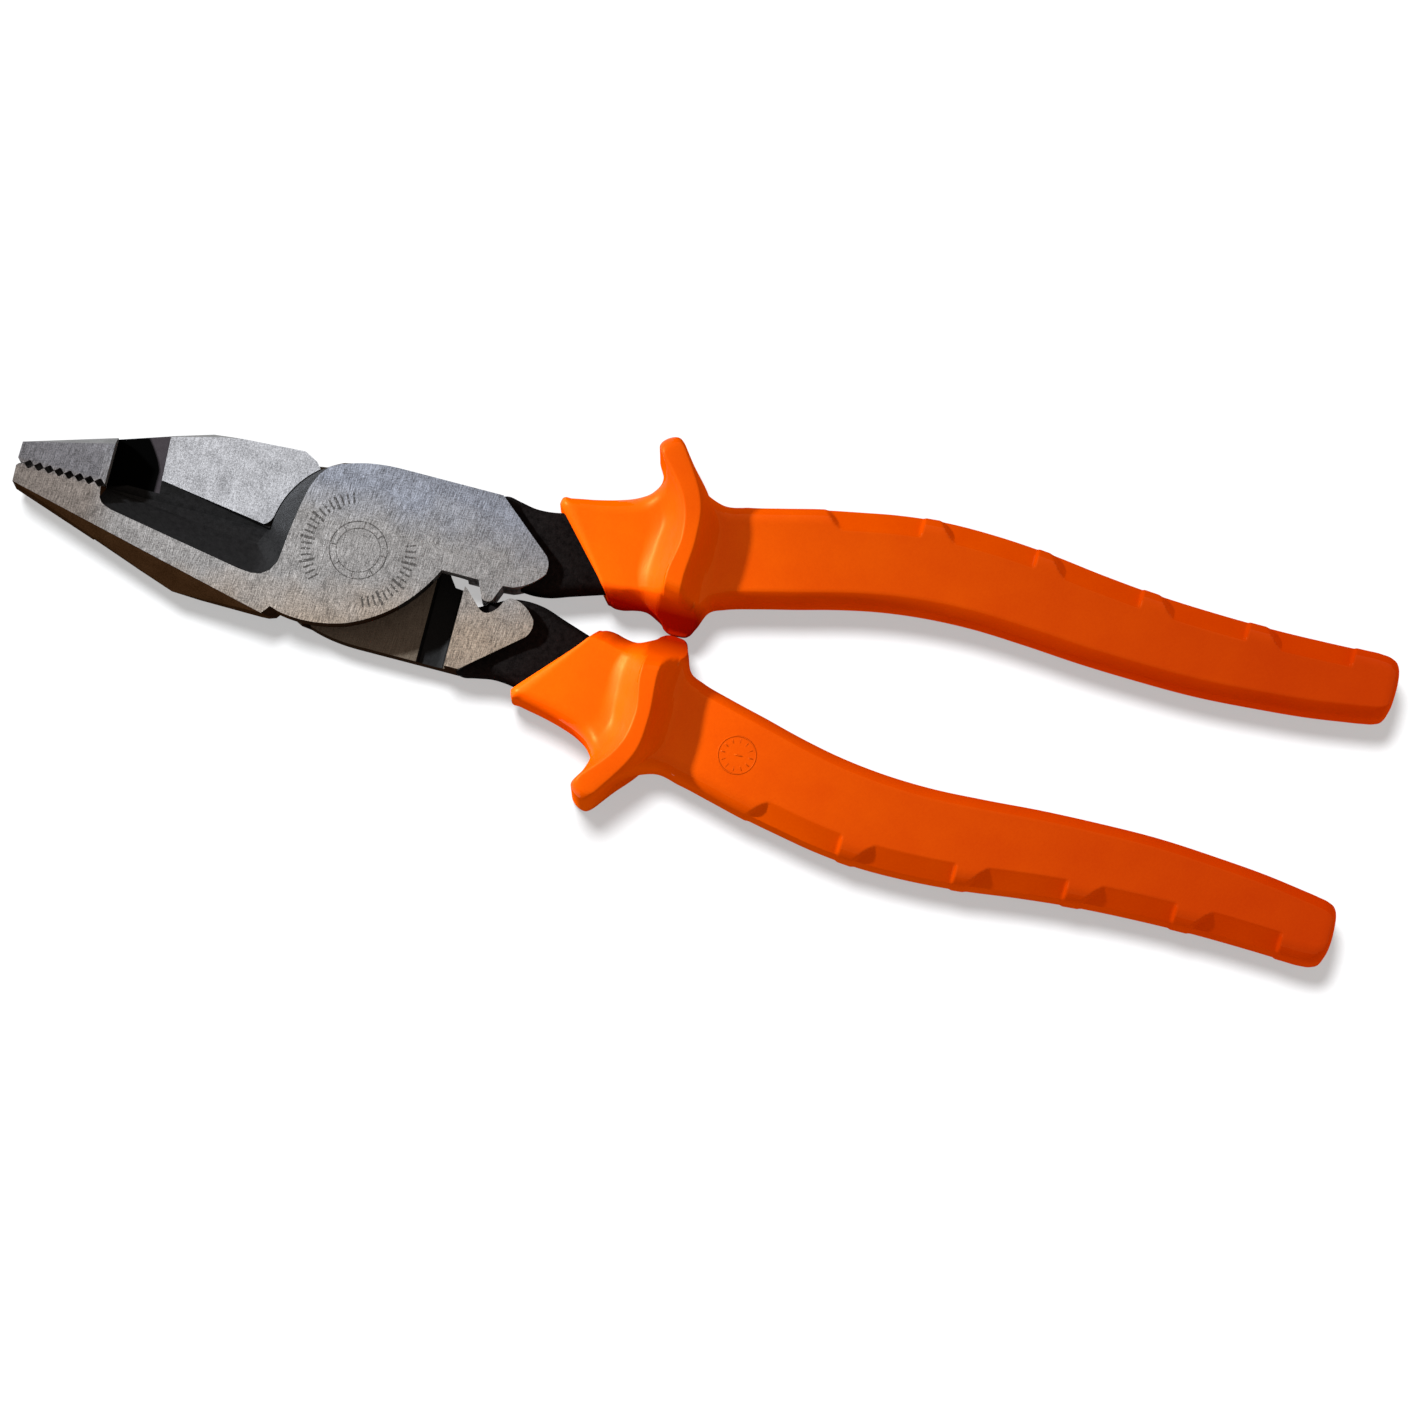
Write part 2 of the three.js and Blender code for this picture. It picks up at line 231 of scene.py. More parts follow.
# ---------------------------------------------------------------- materials
def ground_steel(name, dark, light, roughness=0.4, metal=0.65, lines=1.0, specular=0.5,
                 painted_light=False, etched=False):
    """Steel ground across the tool: fine lines along Y, a fainter crossing set and bright specks. With
    painted_light, painted reflection and shade are multiplied in.
    """
    mat, tree, shader = new_material(name)
    layers = (
        (noise(tree, in_mm(tree, (7.5, 0.45, 7.5), 0.06), 1.0, 2, 0.6), 0.8 * lines),  # the lines
        (noise(tree, in_mm(tree, (0.6, 6.5, 6.5), -0.14), 1.0, 2, 0.6), 0.35 * lines),  # the crossing set
        (noise(tree, in_mm(tree), 4.6, 2, 0.75), 1.2 - 0.5 * lines),  # specks
        (noise(tree, in_mm(tree), 0.22, 3, 0.6), 0.6 - 0.4 * lines),  # patches
    )
    relief = weighted_sum(tree, layers)
    centre = 0.5 * sum(weight for _, weight in layers) + 0.05 * lines
    spread = 0.23
    level = remap(tree, relief, centre - spread, centre + spread, 0, 1)
    colour = mix(tree, level, rgb(*dark), rgb(*light))
    # painted reflection and painted shade multiplied into the steel's colour
    if painted_light:
        colour = mix(tree, 1.0, colour, painted_steel_light(tree), "MULTIPLY")
    normal = bump(tree, relief, 0.035, 0.8)
    if etched:
        mark = etched_ring(tree)
        colour = mix(tree, math_node(tree, "MULTIPLY", mark, 0.8), colour, rgb(0.03, 0.028, 0.027))
        normal = bump(tree, math_node(tree, "SUBTRACT", 1.0, mark), 0.06, 0.6, normal)
    tree.links.new(colour, shader.inputs["Base Color"])
    tree.links.new(remap(tree, level, 0, 1, roughness - 0.04, roughness + 0.06), shader.inputs["Roughness"])
    tree.links.new(normal, shader.inputs["Normal"])
    shader.inputs["Metallic"].default_value = metal
    shader.inputs["Specular IOR Level"].default_value = specular
    return mat


def painted_steel_light(tree):
    """Painted reflection and shade for the steel: cooler towards the upper edge, warmer brown towards the
    lower rear, and painted shade that darkens the nose.
    """
    x, y, _ = axes(tree)
    cloud = math_node(tree, "SUBTRACT", noise(tree, in_mm(tree), 0.12, 2, 0.5), 0.5)
    wander = math_node(tree, "MULTIPLY_ADD", cloud, 9.0, y)
    slope = math_node(tree, "MULTIPLY_ADD", x, -0.18, wander)
    painted_reflection = mix(tree, remap(tree, wander, 4, 12, 0, 1), rgb(0.99, 0.98, 0.99), rgb(0.88, 0.96, 1.16))
    painted_reflection = mix(tree, remap(tree, slope, -5, -14, 0, 1), painted_reflection, rgb(1.2, 0.99, 0.80))
    nose_painted_shade = mix(tree, remap(tree, y, -1, 1, 0, 1), rgb(0.70, 0.62, 0.57), rgb(0.56, 0.56, 0.62))
    return mix(tree, remap(tree, x, -43, -48.5, 0, 1), painted_reflection, nose_painted_shade)


def etched_ring(tree):
    """Plain graduated arcs about the rivet, either side of a small divided ring."""
    x, y, _ = axes(tree)
    radius, turn = polar(tree, x, y)

    def ring(at, half_width):
        return math_node(tree, "LESS_THAN", away_from(tree, radius, at), half_width)

    def ticks(count, half_width, inner, outer):
        place = math_node(tree, "FRACT", math_node(tree, "MULTIPLY_ADD", turn, count, 0.5))
        pitch = math_node(tree, "MULTIPLY", radius, 2 * math.pi / count)
        off = math_node(tree, "MULTIPLY", away_from(tree, place, 0.5), pitch)
        thin = math_node(tree, "LESS_THAN", off, half_width)
        return math_node(tree, "MULTIPLY", thin, ring((inner + outer) / 2, (outer - inner) / 2))

    def sector(middle, half_width):
        """1 within half_width degrees of the direction `middle`."""
        middle = math.radians(middle)
        way = math_node(tree, "MULTIPLY_ADD", x, math.cos(middle),
                        math_node(tree, "MULTIPLY", y, math.sin(middle)))
        limit = math_node(tree, "MULTIPLY", radius, math.cos(math.radians(half_width)))
        return math_node(tree, "GREATER_THAN", way, limit)

    scale = highest(tree, ticks(56, 0.17, 8.3, 10.2), ticks(14, 0.24, 7.9, 10.6))
    arcs = highest(tree, sector(166, 62), sector(-26, 46))
    total = highest(tree, math_node(tree, "MULTIPLY", scale, arcs), ring(5.1, 0.1), ring(3.9, 0.07),
                    ticks(8, 0.09, 3.9, 5.1))
    worn = remap(tree, noise(tree, in_mm(tree), 2.5, 2), 0.3, 0.5, 0.25, 1)
    return math_node(tree, "MULTIPLY", total, worn)


def black_oxide(name, dark, light, roughness=0.5, grain=1.0, specular=0.0, painted_shadow_to=None):
    """Black oxide. With painted_shadow_to, a painted shadow makes it near black up to that X, in millimetres,
    along a curve.
    """
    mat, tree, shader = new_material(name)
    mottle = noise(tree, in_mm(tree), 1.1, 4, 0.65)
    fine = noise(tree, in_mm(tree), 5.0, 2, 0.6)
    relief = weighted_sum(tree, ((mottle, 0.7), (fine, 0.5)))
    colour = mix(tree, remap(tree, relief, 0.42, 0.8, 0, 1), rgb(*dark), rgb(*light))
    if painted_shadow_to is not None:
        x, y, _ = axes(tree)
        straight_to = 5.0  # the painted shadow's edge bends back beyond this Y
        beyond = math_node(tree, "SUBTRACT", math_node(tree, "ABSOLUTE", y), straight_to)
        bend = math_node(tree, "POWER", math_node(tree, "MAXIMUM", beyond, 0.0), 1.4)
        bent_x = math_node(tree, "MULTIPLY_ADD", bend, 0.3, x)
        clear = remap(tree, bent_x, painted_shadow_to - 0.25, painted_shadow_to + 0.25, 0, 1)
        # painted shadow: near black on the near side of the edge
        colour = mix(tree, clear, rgb(0.001, 0.001, 0.001), colour)
    tree.links.new(colour, shader.inputs["Base Color"])
    tree.links.new(remap(tree, mottle, 0.3, 0.7, roughness - 0.08, roughness + 0.1),
                   shader.inputs["Roughness"])
    tree.links.new(bump(tree, relief, 0.09 * grain, 0.7), shader.inputs["Normal"])
    shader.inputs["Specular IOR Level"].default_value = specular
    return mat


def moulded_grip(name, base, deep, roughness, specular):
    """Moulded rubber with a fine grain and one round mark.

    Its colour carries painted shade: deeper towards the handle's end, where the light falls off, and darker
    at the guards' inner tips, where they shade each other.
    """
    mat, tree, shader = new_material(name)
    x, y, _ = axes(tree)
    cloud = noise(tree, in_mm(tree), 0.12, 3, 0.5)
    grain = noise(tree, in_mm(tree), 2.6, 3, 0.65)
    level = weighted_sum(tree, ((grain, 0.4), (cloud, 0.6)))
    colour = mix(tree, remap(tree, level, 0.35, 0.65, 0, 1), rgb(*deep), rgb(*base))
    # painted shade: the light falling off towards the handle's end
    rear = remap(tree, x, 55, 185, 0, 1)
    colour = mix(tree, 1.0, colour, mix(tree, rear, rgb(1, 1, 1), rgb(1.0, 0.62, 1)), "MULTIPLY")
    # painted shade between the two guards' inner tips
    tip = math_node(tree, "MINIMUM", remap(tree, y, 5.8, 3.0, 0, 1), remap(tree, y, -5.0, -0.5, 0, 1))
    colour = mix(tree, 1.0, colour, mix(tree, tip, rgb(1, 1, 1), rgb(0.42, 0.09, 1)), "MULTIPLY")
    tree.links.new(colour, shader.inputs["Base Color"])
    tree.links.new(remap(tree, grain, 0.3, 0.7, roughness, roughness + 0.08), shader.inputs["Roughness"])
    normal = bump(tree, mould_mark(tree), 0.16, 1.0, bump(tree, grain, 0.035, 0.6))
    tree.links.new(normal, shader.inputs["Normal"])
    shader.inputs["Specular IOR Level"].default_value = specular
    shader.inputs["Specular Tint"].default_value = rgb(1.0, 0.5, 0.12)
    return mat


MARK_X, MARK_Y = 73.8, -18.3  # middle of the mark on the lower handle's flat, mm


def mould_mark(tree):
    """The round mark that the mould leaves on the handle's flat: a rim, twelve ticks and a short hand."""
    whole_x, whole_y, _ = axes(tree)
    x = math_node(tree, "SUBTRACT", whole_x, MARK_X)
    y = math_node(tree, "SUBTRACT", math_node(tree, "ABSOLUTE", whole_y), abs(MARK_Y))
    radius, turn = polar(tree, x, y)

    def soft(value, at, half_width):
        """1 near `at`, falling to 0 at half_width."""
        return remap(tree, away_from(tree, value, at), half_width * 0.4, half_width, 1, 0)

    rim = soft(radius, 3.35, 0.16)
    place = math_node(tree, "FRACT", math_node(tree, "MULTIPLY_ADD", turn, 12, 0.5))
    tick = math_node(tree, "MULTIPLY", soft(place, 0.5, 0.08), soft(radius, 2.5, 0.45))
    hand = math_node(tree, "MULTIPLY", soft(y, 0.0, 0.16), soft(x, 0.3, 0.8))
    only_lower = math_node(tree, "LESS_THAN", whole_y, 0.0)
    return math_node(tree, "MULTIPLY", highest(tree, rim, tick, hand), only_lower)


def inner_layer(name):
    mat, tree, shader = new_material(name)
    cloud = noise(tree, in_mm(tree), 0.8, 3)
    tree.links.new(mix(tree, cloud, rgb(0.72, 0.7, 0.64), rgb(0.84, 0.82, 0.77)), shader.inputs["Base Color"])
    tree.links.new(remap(tree, cloud, 0.3, 0.7, 0.5, 0.65), shader.inputs["Roughness"])
    tree.links.new(bump(tree, noise(tree, in_mm(tree), 4, 2), 0.02), shader.inputs["Normal"])
    return mat


# The main ground steel, with painted reflection and painted shade, darker over the nose.
STEEL = ground_steel("steel_ground", (0.11, 0.11, 0.11), (0.49, 0.49, 0.49), painted_light=True, etched=True)
STEEL_PLATE = ground_steel("steel_plate", (0.17, 0.175, 0.19), (0.52, 0.53, 0.565),
                           roughness=0.45, metal=0.6, lines=0.4)
# The mating faces' warm brown is a painted reflection of warm surroundings.
STEEL_MATING = ground_steel("steel_mating", (0.07, 0.052, 0.036), (0.17, 0.14, 0.11),
                            roughness=0.45, metal=0.4, lines=0.8, specular=0.3)
# Two copies of the jaws' side-wall steel: painted shade in dark brown, and painted light.
SHADE_SIDE = ground_steel("steel_shade_side", (0.022, 0.009, 0.003), (0.055, 0.026, 0.011),
                          roughness=0.8, metal=0.0, lines=0.4, specular=0.0)
LIGHT_SIDE = ground_steel("steel_light_side", (0.12, 0.12, 0.12), (0.30, 0.30, 0.30),
                          roughness=0.45, metal=0.6, lines=0.5, specular=0.4)
BLACK = black_oxide("steel_black", (0.005, 0.005, 0.0053), (0.0115, 0.0113, 0.0118), specular=0.07)
# The floor strip behind the nose, with the nose's shadow painted in up to X -37.8.
BLACK_STRIP_PAINTED_SHADOW = black_oxide("steel_black_strip_painted_shadow", (0.034, 0.029, 0.033), (0.046, 0.040, 0.045),
                          painted_shadow_to=-37.8)
BLACK_TANG = black_oxide("steel_black_tang", (0.003, 0.0026, 0.0026), (0.0115, 0.010, 0.0098),
                         roughness=0.45, grain=1.6)
BROWN_EDGE = black_oxide("steel_brown_edge", (0.016, 0.008, 0.004), (0.034, 0.019, 0.011))
ORANGE = moulded_grip("grip_orange", (1.0, 0.124, 0.0), (0.93, 0.100, 0.0), roughness=0.38, specular=0.42)
# The walls' copy of the grip: rougher, without specular, and a touch darker as painted shade.
ORANGE_SIDE_PAINTED_SHADE = moulded_grip("grip_orange_side_painted_shade", (0.97, 0.117, 0.0), (0.90, 0.096, 0.0),
                           roughness=0.7, specular=0.0)
WHITE = inner_layer("sleeve_white")
# The jaws' side walls have painted shade, in dark brown, on the upper half and painted light on the lower.
HEAD_MATERIALS = {
    half: [STEEL, STEEL_PLATE, STEEL_MATING, side, BLACK, BLACK_STRIP_PAINTED_SHADOW, BROWN_EDGE]
    for half, side in (("upper", SHADE_SIDE), ("lower", LIGHT_SIDE))
}
GROUND, PLATE, MATING, SIDE, POCKET, STRIP, EDGE = range(7)


# ---------------------------------------------------------------- mesh helpers, all in millimetres
def object_from(bm, name="scratch"):
    mesh = bpy.data.meshes.new(name)
    bm.to_mesh(mesh)
    bm.free()
    obj = bpy.data.objects.new(name, mesh)
    scene.collection.objects.link(obj)
    return obj


def hull(points):
    bm = bmesh.new()
    for p in points:
        bm.verts.new(p)
    made = bmesh.ops.convex_hull(bm, input=bm.verts)
    unused = set(made["geom_interior"]) | set(made["geom_unused"])
    bmesh.ops.delete(bm, geom=[v for v in unused if isinstance(v, bmesh.types.BMVert)], context="VERTS")
    bmesh.ops.dissolve_limit(bm, angle_limit=math.radians(0.5), verts=bm.verts, edges=bm.edges)
    bmesh.ops.recalc_face_normals(bm, faces=bm.faces)
    return object_from(bm)


def prism(outline, low, high):
    bm = bmesh.new()
    lower = [bm.verts.new((x, y, low)) for x, y in outline]
    upper = [bm.verts.new((x, y, high)) for x, y in outline]
    bm.faces.new(lower)
    bm.faces.new(upper)
    for i in range(len(outline)):
        j = (i + 1) % len(outline)
        bm.faces.new((lower[i], lower[j], upper[j], upper[i]))
    bmesh.ops.recalc_face_normals(bm, faces=bm.faces)
    return object_from(bm)


def turned(profile):
    """A body of revolution about Z through (radius, z) points that start and end on the axis."""
    count = 96
    bm = bmesh.new()
    rings = []
    for radius, z in profile:
        if radius == 0:
            rings.append([bm.verts.new((0, 0, z))])
            continue
        rings.append([bm.verts.new((radius * math.cos(a), radius * math.sin(a), z))
                      for a in (2 * math.pi * i / count for i in range(count))])
    for a, b in zip(rings, rings[1:]):
        for i in range(count):
            j = (i + 1) % count
            if len(a) == 1:
                bm.faces.new((a[0], b[i], b[j]))
            elif len(b) == 1:
                bm.faces.new((a[i], b[0], a[j]))
            else:
                bm.faces.new((a[i], b[i], b[j], a[j]))
    bmesh.ops.recalc_face_normals(bm, faces=bm.faces)
    return object_from(bm)


def settle(obj):
    """Applies obj's modifiers."""
    graph = bpy.context.evaluated_depsgraph_get()
    graph.update()
    mesh = bpy.data.meshes.new_from_object(obj.evaluated_get(graph))
    obj.modifiers.clear()
    old = obj.data
    obj.data = mesh
    bpy.data.meshes.remove(old)
    return obj


def combine(target, tool, operation):
    modifier = target.modifiers.new("b", "BOOLEAN")
    modifier.operation = operation
    modifier.solver = "EXACT"
    modifier.object = tool
    settle(target)
    bpy.data.objects.remove(tool)
    return target


def cut(target, *tools):
    for tool in tools:
        combine(target, tool, "DIFFERENCE")
    return target


def join(target, tool):
    return combine(target, tool, "UNION")


def at(z, pairs):
    return [(x, y, z) for x, y in pairs]


def arc(radius, start, stop, count):
    return [(radius * math.cos(math.radians(a)), radius * math.sin(math.radians(a)))
            for a in np.linspace(start, stop, count)]


def quadratic(a, b, c, count=8):
    """Points after a along the quadratic curve to c with control point b."""
    return [tuple((1 - t) ** 2 * a[k] + 2 * t * (1 - t) * b[k] + t * t * c[k] for k in (0, 1))
            for t in np.linspace(0, 1, count + 1)[1:]]


def hermite(knots, rows, wanted, level=()):
    """Smooth curve through rows at knots. Columns in `level` never overshoot their neighbours."""
    knots, rows = np.asarray(knots, float), np.asarray(rows, float)
    steps = np.diff(knots)
    slopes = np.diff(rows, axis=0) / steps[:, None]
    tangents = np.empty_like(rows)
    tangents[0], tangents[-1] = slopes[0], slopes[-1]
    weight = (steps[1:] / (steps[1:] + steps[:-1]))[:, None]
    tangents[1:-1] = slopes[:-1] * weight + slopes[1:] * (1 - weight)
    for k in level:
        for i in range(1, len(knots) - 1):
            a, b = slopes[i - 1, k], slopes[i, k]
            tangents[i, k] = 0 if a * b <= 0 else 2 * a * b / (a + b)
    i = np.clip(np.searchsorted(knots, wanted, side="right") - 1, 0, len(knots) - 2)
    h = steps[i]
    t = ((wanted - knots[i]) / h)[:, None]
    h = h[:, None]
    return ((2 * t**3 - 3 * t**2 + 1) * rows[i] + (t**3 - 2 * t**2 + t) * h * tangents[i]
            + (3 * t**2 - 2 * t**3) * rows[i + 1] + (t**3 - t**2) * h * tangents[i + 1])


def skin(points):
    """A closed mesh over points[ring][place], where each ring runs over the top and back underneath."""
    rings, around, _ = points.shape
    index = np.arange(rings * around).reshape(rings, around)
    right = np.roll(index, -1, axis=1)
    quads = np.stack([index[:-1], right[:-1], right[1:], index[1:]], axis=-1).reshape(-1, 4)
    faces = quads.tolist()
    for ring, flip in ((index[0], True), (index[-1], False)):
        for i in range(around // 2 - 1):
            quad = [ring[i], ring[i + 1], ring[around - 2 - i], ring[around - 1 - i]]
            faces.append([int(v) for v in (quad[::-1] if flip else quad)])
    mesh = bpy.data.meshes.new("skin")
    mesh.from_pydata(points.reshape(-1, 3).tolist(), [], faces)
    mesh.update()
    bm = bmesh.new()
    bm.from_mesh(mesh)
    bmesh.ops.recalc_face_normals(bm, faces=bm.faces)
    bm.to_mesh(mesh)
    bm.free()
    obj = bpy.data.objects.new("skin", mesh)
    scene.collection.objects.link(obj)
    return obj


def bevel_edges(obj, width):
    bevel = obj.modifiers.new("bevel", "BEVEL")
    bevel.width = width
    bevel.segments = 2
    bevel.limit_method = "ANGLE"
    bevel.angle_limit = math.radians(28)
    return settle(obj)


def weight_normals(obj, weight):
    weighted = obj.modifiers.new("weighted", "WEIGHTED_NORMAL")
    weighted.keep_sharp = False
    weighted.weight = weight


def shade_smooth(obj):
    for polygon in obj.data.polygons:
        polygon.use_smooth = True


def give_materials(obj, materials):
    obj.data.materials.clear()
    for mat in materials:
        obj.data.materials.append(mat)


def to_part_frame(obj, name, half):
    """Names a finished shape and moves it from its half's drawing to the part's frame."""
    turn = Matrix.Rotation(math.pi, 4, "X") if half == "lower" else Matrix.Identity(4)
    obj.data.transform(Matrix.Scale(MM, 4) @ Matrix.Translation((0, 0, LIFT)) @ turn)
    obj.name = obj.data.name = name


# ---------------------------------------------------------------- forgings
TIP_X, NOSE_END_X, PLATE_START_X = -62.3, -46.3, -36.8
FLOOR_DEPTH, PLATE_DEPTH = 0.6, 1.6
LAP_RADIUS, LAP_CLEARANCE = 16.2, 16.42
LAP_LEVEL = 0.04  # the joint's own half starts this far above the mid-plane
REAR_BLOCK_X, GROOVE_X = 19.8, 15.1
SEAM = 0.006  # half of the line between the two halves
FAR = 20.0
JAW_TRIM = {"upper": 0.0, "lower": 0.8}  # how much narrower the jaw's back is
DIE_FACE_Y = {"upper": 0.35, "lower": 1.4}
HEAD_BEVEL = 0.16
RIVET_BEVEL = 0.03
RIVET_GAP = 0.02
TEETH, TOOTH_START_X, TOOTH_CREST_Y, TOOTH_DEPTH = 8, TIP_X + 1.3, -0.05, 0.68


def jaw(half):
    """The jaw with its nose, pocket, cutter plate and teeth, ground face up."""
    trim = JAW_TRIM[half]
    face = [(TIP_X, -SEAM), (TIP_X + 0.1, -3.6), (-13.8, -15.1), (-9.4, -9.4), (-9.4, -SEAM)]
    widest = [(TIP_X, -SEAM), (TIP_X, -3.4), (-30.3, trim - 14.9), (-12, trim - 15), (-8.1, -9.4),
              (-8.1, -SEAM)]
    plate_level = [(TIP_X, -3.4), (-29, trim - 14.5), (-11.3, trim - 14.6), (-7.6, -9.4)]
    body = hull(at(HEAD, face) + at(0.8, widest) + at(-PLATE_DEPTH, plate_level) + at(-HEAD, face))

    # Below the mid-plane the jaw is cut back to the plate and, towards the nose, to the floor.
    plate_area = [(NOSE_END_X, -FAR), (0, -FAR), (0, 1), (NOSE_END_X, 1)]
    floor_area = [(NOSE_END_X, -FAR), (PLATE_START_X - 1.1, -FAR), (PLATE_START_X, 1), (NOSE_END_X, 1)]
    plate_edge = [(NOSE_END_X, 1), (NOSE_END_X, -0.7), (PLATE_START_X, -3.65), (-17.8, -0.5), (-16, -0.5),
                  (-16, 1)]
    blade = hull(at(0, [(NOSE_END_X, 0), (-16, 0), (-16, 1), (NOSE_END_X, 1)])
                 + at(-PLATE_DEPTH, plate_edge) + at(-PLATE_DEPTH - 1, plate_edge))
    cut(body, prism(plate_area, -FAR, -PLATE_DEPTH), prism(floor_area, -FAR, -FLOOR_DEPTH), blade,
        prism(arc(LAP_CLEARANCE, 0, 360, 145)[:-1], -FAR, 0.02))

    # Above it the pocket's wall slopes in from the rim to its foot, and the cutter is bevelled from there.
    rim = [(NOSE_END_X, 1), (NOSE_END_X, -0.8), (-46, -2.7), (-45.3, -3.7), (-44, -4.15), (-34.9, -5.6),
           (-19.5, -8.5), (-17.3, -8.68), (-15.6, -8.35), (-14.2, -7.3), (-13.3, -5.6), (-12.8, -2.9),
           (-12.4, 1)]
    above = [(x + (x + 30) * 0.04, y * 1.05 if y < 0 else y) for x, y in rim]
    foot = [(NOSE_END_X, 1), (NOSE_END_X, -0.6), (-36.8, -0.75), (-18, -3.0), (-16.6, -1.6), (-16.4, 1)]
    edge = [(NOSE_END_X, 1), (NOSE_END_X, -SEAM), (-16.8, -SEAM), (-16.8, 1)]
    shoulder = [(NOSE_END_X, 1), (NOSE_END_X, -0.9), (-36.8, -1.0), (-18, -3.3), (-16.4, -1.6), (-16, 1)]
    slope = hull(at(HEAD + 1, above) + at(HEAD, rim) + at(2.0, foot))
    bevel = hull(at(2.3, shoulder) + at(0.2, edge))
    corner = [(-18.8, 1), (-18.8, -0.62)] + quadratic((-18.8, -0.62), (-16.9, -0.5), (-16.3, -2.3))
    corner += [(-15.5, -2.3), (-15.5, 1)]
    cut(body, slope, bevel, prism(corner, -FAR, -0.9))

    pitch = (NOSE_END_X - TOOTH_START_X) / TEETH
    teeth = [(NOSE_END_X, 2), (TIP_X - 1, 2), (TIP_X - 1, -0.9), (TIP_X, -0.7), (TIP_X + 0.45, -0.22),
             (TOOTH_START_X, TOOTH_CREST_Y)]
    for i in range(TEETH):
        start = TOOTH_START_X + i * pitch
        valley = TOOTH_CREST_Y - TOOTH_DEPTH
        teeth += [(start + 0.42 * pitch, valley), (start + 0.58 * pitch, valley),
                  (start + 0.94 * pitch, TOOTH_CREST_Y), (start + pitch, TOOTH_CREST_Y)]
    teeth[-1] = (NOSE_END_X + 0.001, TOOTH_CREST_Y)
    return cut(body, prism(teeth, -FAR, FAR))


def die_edge(half):
    """The crimping die's edge behind the joint, and the head's rear outline as far as its back."""
    face = DIE_FACE_Y[half]
    if half == "upper":
        line = [(21.8, face), (23, -2.3)]
        line += quadratic((23, -2.3), (23.4, -3.1), (24.3, -3))
        line += quadratic((24.3, -3), (25, -2.9), (25.3, -2))
        line += [(26.2, face), (28, 0.5)]
    else:
        line = [(20.3, face + 0.3), (21.7, 3.1), (23.0, 4.4)]
        line += quadratic((23.0, 4.4), (24.0, 5.4), (25.0, 4.9))
        line += quadratic((25.0, 4.9), (26.4, 4.1), (26.9, 2.7))
        line += quadratic((26.9, 2.7), (27.4, 1.5), (28.5, face))
    line += quadratic(line[-1], (31, 1.5), (33, 4.2), 10)
    line += quadratic((33, 4.2), (33.5, 6), (32.4, 7.4), 6)
    return line + [(22.3, 15.9)]


def joint(half):
    """The half lap about the rivet, and the full-height block with the die behind it."""
    face = DIE_FACE_Y[half]
    back = JAW_TRIM[half] - 14
    outline = [(-12.6, -13.5), (-11.1, back)]
    outline += quadratic((-11.1, back), (-5.4, JAW_TRIM[half] * 1.2 - 15.2), (1, -13.1), 14)
    if half == "upper":
        outline += quadratic((1, -13.1), (10.5, -9.2), (GROOVE_X, face), 18)
    else:
        outline += quadratic((1, -13.1), (11, -9.2), (16.9, -0.1), 18) + [(18, face)]
    outline += die_edge(half) + [(4, 15.9)]
    outline += quadratic((4, 15.9), (-1, 15.9), (-5, 14.6), 10)
    outline += [(-8, 10), (-10.5, -2)]
    low = arc(LAP_RADIUS, 114, 232, 48)
    top = [(-5, 14.6), (-7, 13.9), (-8.7, 13), (-10.1, 11.2), (-11.2, 8.7), (-12, 4.8), (-12.6, 0.5),
           (-12.8, -2.9), (-13.2, -5.2), (-11.1, -12)]
    round_end = hull(at(LAP_LEVEL, low) + at(PLATE_DEPTH + 0.3, low) + at(HEAD, top))
    lap = join(prism(outline, LAP_LEVEL, HEAD), round_end)
    # The groove's outline is drawn in X and Z, then stood up to run along Y.
    groove = prism([(GROOVE_X - 0.6, -1), (GROOVE_X - 0.6, LAP_LEVEL), (GROOVE_X, 0.94), (18, 0.94),
                    (19.2, 0.5), (REAR_BLOCK_X, -0.6), (REAR_BLOCK_X, -1)], -FAR, FAR)
    groove.data.transform(Matrix.Rotation(math.pi / 2, 4, "X"))
    cut(lap, groove)
    block = [(REAR_BLOCK_X, face)] + die_edge(half) + [(REAR_BLOCK_X, 15.9)]
    return join(lap, prism(block, -HEAD, HEAD))


def rivet_profile(grow):
    """The rivet with its countersunk heads, as (radius, z) points."""
    head, body, depth = 6.2 + grow, 5 + grow, 5.4
    return [(0, -HEAD), (head, -HEAD), (body, -depth), (body, depth), (head, HEAD), (0, HEAD)]


TANG_ROWS = [  # x, inner edge, outer edge
    (20.5, 5.0, 15.2), (23, 4.0, 16.3), (25.5, 2.6, 15.9), (28.4, 1.2, 15.4), (31, 0.85, 15.5),
    (34.4, 1.15, 16.2), (38, 2.3, 17.0), (44, 4.2, 18.0), (50, 6.4, 18.8), (60, 10, 20.8),
]
TANG_HALF, TANG_THINNING, TANG_ROUNDING = 5.4, 1.2, 2.4
TANG_RINGS = 90


def rounded_section(low, high, half, radius):
    """Places round a rounded rectangle, over the top from the low side to the high side and back."""
    radius = min(radius, (high - low) / 2 - 0.05, half - 0.05)
    turn = np.linspace(0, math.pi / 2, 7)
    rise = [(low + radius * (1 - math.cos(a)), half - radius * (1 - math.sin(a))) for a in turn]
    fall = [(low + high - y, z) for y, z in rise[::-1]]
    flat = [(y, half) for y in np.linspace(low + radius, high - radius, 9)[1:-1]]
    over = rise + flat + fall
    return over + [(y, -z) for y, z in over[::-1]]


def tang():
    """The forged tang, from inside the head to inside the grip, thinning from X 30 to X 42."""
    x = np.array([row[0] for row in TANG_ROWS])
    wanted = np.linspace(x[0], x[-1], TANG_RINGS)
    rows = hermite(x, [row[1:] for row in TANG_ROWS], wanted)
    rings = []
    for where, (low, high) in zip(wanted, rows):
        half = TANG_HALF - TANG_THINNING * min(1, max(0, (where - 30) / 12)) ** 1.5
        rings.append([(where, y, z) for y, z in rounded_section(low, high, half, TANG_ROUNDING)])
    return skin(np.array(rings))


